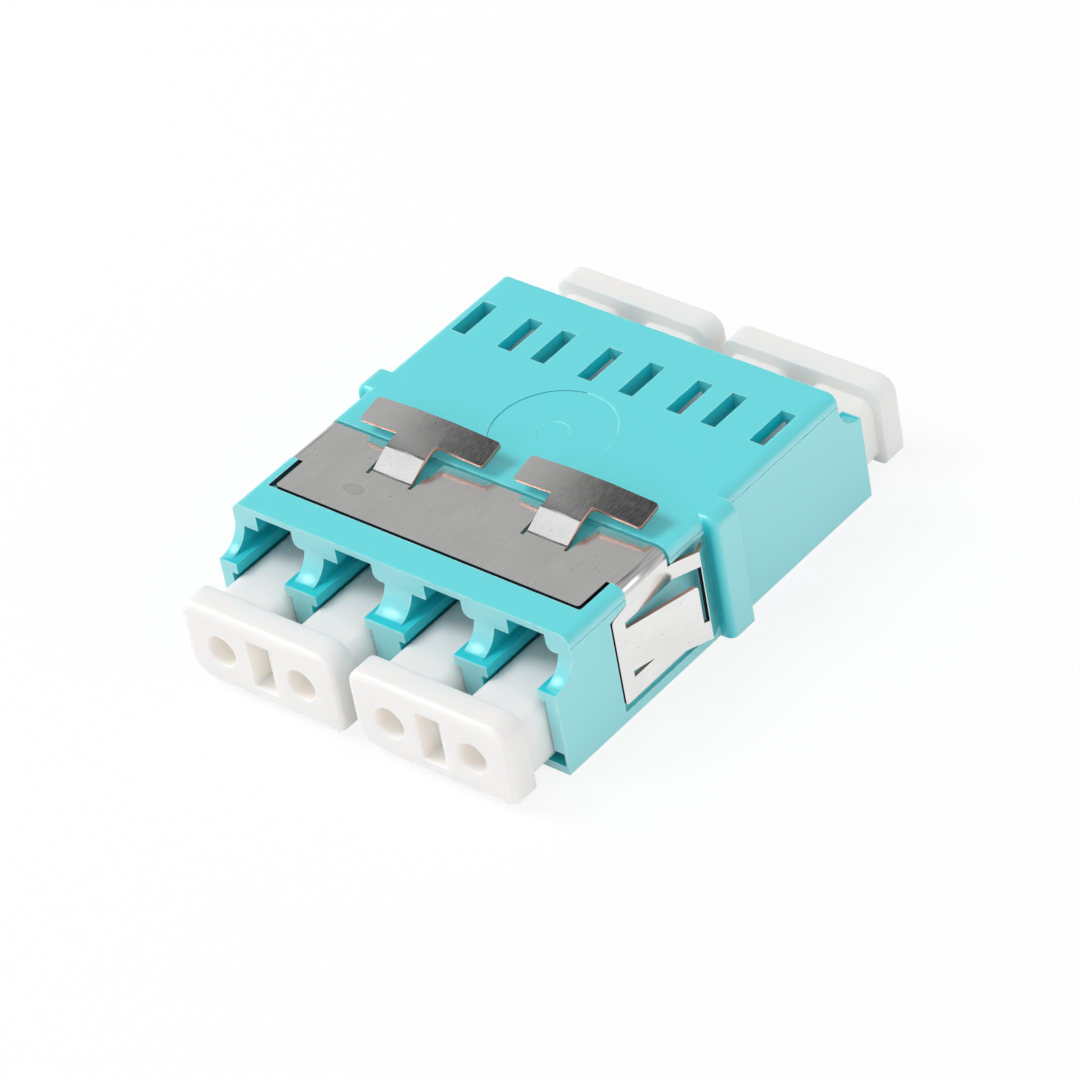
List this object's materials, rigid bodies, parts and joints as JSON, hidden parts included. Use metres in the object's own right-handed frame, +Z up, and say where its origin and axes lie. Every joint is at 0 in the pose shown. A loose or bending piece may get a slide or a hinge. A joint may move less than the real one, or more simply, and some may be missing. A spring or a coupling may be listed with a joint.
{
  "type": "fibre adapter",
  "caption": "Aqua quad fibre adapter with a steel panel clip and white dust plugs in both ends.",
  "frame": {"origin": "bottom centre of the whole part, under the middle of the housing", "axes": "+X to the right along the row of ports, +Y along the ports from the clip end to the other end, +Z up towards the top face"},
  "size_m": [0.0284, 0.0374, 0.0103],
  "materials": {
    "housing_plastic": "satin",
    "clip_steel": "satin",
    "plug_plastic": "satin",
    "sleeve_ceramic": "gloss"
  },
  "bodies": {
    "adapter": {"housing": "housing_plastic", "bottom_cover": "housing_plastic", "sleeve_holder_front": "housing_plastic", "sleeve_holder_rear": "housing_plastic", "alignment_sleeve_far_left": "sleeve_ceramic", "alignment_sleeve_near_left": "sleeve_ceramic", "alignment_sleeve_near_right": "sleeve_ceramic", "alignment_sleeve_far_right": "sleeve_ceramic", "panel_clip": "clip_steel"},
    "plug_front_left": {"dust_plug_front_left": "plug_plastic"},
    "plug_front_right": {"dust_plug_front_right": "plug_plastic"},
    "plug_rear_left": {"dust_plug_rear_left": "plug_plastic"},
    "plug_rear_right": {"dust_plug_rear_right": "plug_plastic"}
  },
  "joints": [
    {"name": "pull_front_left", "type": "slide", "parent": "adapter", "child": "plug_front_left", "axis": [0, -1, 0], "range_m": [0, 0.012]},
    {"name": "pull_front_right", "type": "slide", "parent": "adapter", "child": "plug_front_right", "axis": [0, -1, 0], "range_m": [0, 0.012]},
    {"name": "pull_rear_left", "type": "slide", "parent": "adapter", "child": "plug_rear_left", "axis": [0, 1, 0], "range_m": [0, 0.012]},
    {"name": "pull_rear_right", "type": "slide", "parent": "adapter", "child": "plug_rear_right", "axis": [0, 1, 0], "range_m": [0, 0.012]}
  ]
}
